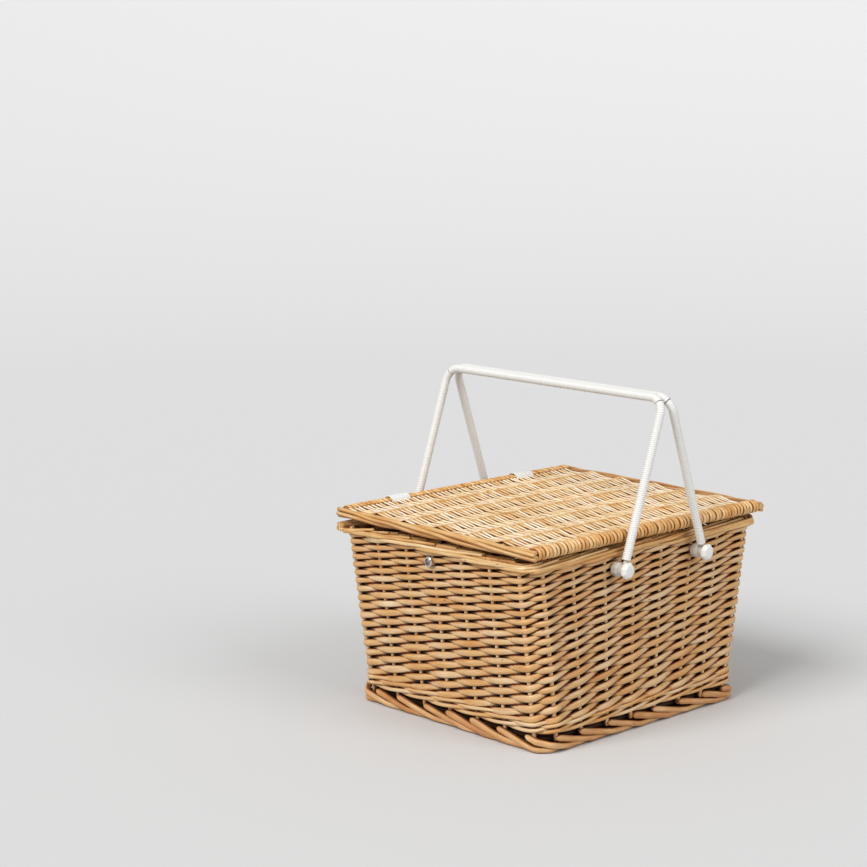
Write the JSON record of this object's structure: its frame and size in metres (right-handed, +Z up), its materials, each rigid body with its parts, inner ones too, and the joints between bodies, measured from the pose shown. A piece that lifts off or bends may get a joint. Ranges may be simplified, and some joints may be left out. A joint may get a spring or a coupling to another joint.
{
  "type": "lidded wicker basket",
  "caption": "Rectangular woven willow picnic basket with tapering sides, a flat woven lid hinged along the back, and a pair of swinging wrapped bail handles.",
  "frame": {"origin": "centre of the basket's footprint, on the surface it stands on", "axes": "+X along the long side to the right seen from the front, -Y to the front, +Z up; the lid hinges along the back (+Y) and the bails' pivots are on the front and back faces"},
  "size_m": [0.3618, 0.3326, 0.3532],
  "materials": {
    "willow": "peeled buff willow rods, satin, tan with brown edges",
    "pale_willow": "peeled pale willow, satin, straw coloured",
    "white_cane": "white plastic cane wound in close turns, low sheen",
    "white_plastic": "moulded white plastic, soft gloss",
    "steel_wire": "plain drawn steel",
    "nickel": "bright nickel plate"
  },
  "bodies": {
    "basket": {"base_panel": "willow", "foot_front": "willow", "foot_back": "willow", "foot_left": "willow", "foot_right": "willow", "wall_front": "willow", "wall_back": "willow", "wall_left": "willow", "wall_right": "willow", "corner_post_front_left": "willow", "corner_post_front_right": "willow", "corner_post_back_left": "willow", "corner_post_back_right": "willow", "rim_front": "willow", "rim_left": "willow", "rim_right": "willow", "rim_hinge_rod": "willow", "spacer_left_front": "white_plastic", "spacer_left_back": "white_plastic", "spacer_right_front": "white_plastic", "spacer_right_back": "white_plastic", "knob_left_front": "white_plastic", "knob_left_back": "white_plastic", "knob_right_front": "white_plastic", "knob_right_back": "white_plastic", "stud_left_front": "steel_wire", "stud_left_back": "steel_wire", "stud_right_front": "steel_wire", "stud_right_back": "steel_wire", "dome_nut_left_front": "nickel", "dome_nut_left_back": "nickel", "dome_nut_right_front": "nickel", "dome_nut_right_back": "nickel", "cup_washer_left": "nickel", "cup_washer_right": "nickel", "end_screw_left": "steel_wire", "end_screw_right": "steel_wire", "inner_washer_left": "nickel", "inner_washer_right": "nickel"},
    "lid": {"lid_panel": "pale_willow", "lid_stick_1": "pale_willow", "lid_stick_2": "pale_willow", "lid_stick_3": "pale_willow", "lid_stick_4": "pale_willow", "lid_stick_5": "pale_willow", "lid_front_roll": "pale_willow", "lid_back_roll": "pale_willow", "lid_end_left": "willow", "lid_end_right": "willow", "hinge_strap_left": "white_cane", "hinge_strap_right": "white_cane"},
    "left_bail": {"left_bail_core": "steel_wire", "left_bail_wrap_front": "white_cane", "left_bail_wrap_bar": "white_cane", "left_bail_wrap_back": "white_cane"},
    "right_bail": {"right_bail_core": "steel_wire", "right_bail_wrap_front": "white_cane", "right_bail_wrap_bar": "white_cane", "right_bail_wrap_back": "white_cane"}
  },
  "joints": [
    {"name": "lid_hinge", "type": "hinge", "parent": "basket", "child": "lid", "pos_m": [0, 0.1375, 0.1965], "axis": [-1, 0, 0], "range_deg": [0, 26]},
    {"name": "left_bail_swing", "type": "hinge", "parent": "basket", "child": "left_bail", "pos_m": [-0.056, 0, 0.1795], "axis": [0, -1, 0], "range_deg": [0, 160]},
    {"name": "right_bail_swing", "type": "hinge", "parent": "basket", "child": "right_bail", "pos_m": [0.068, 0, 0.1795], "axis": [0, 1, 0], "range_deg": [0, 160]}
  ]
}
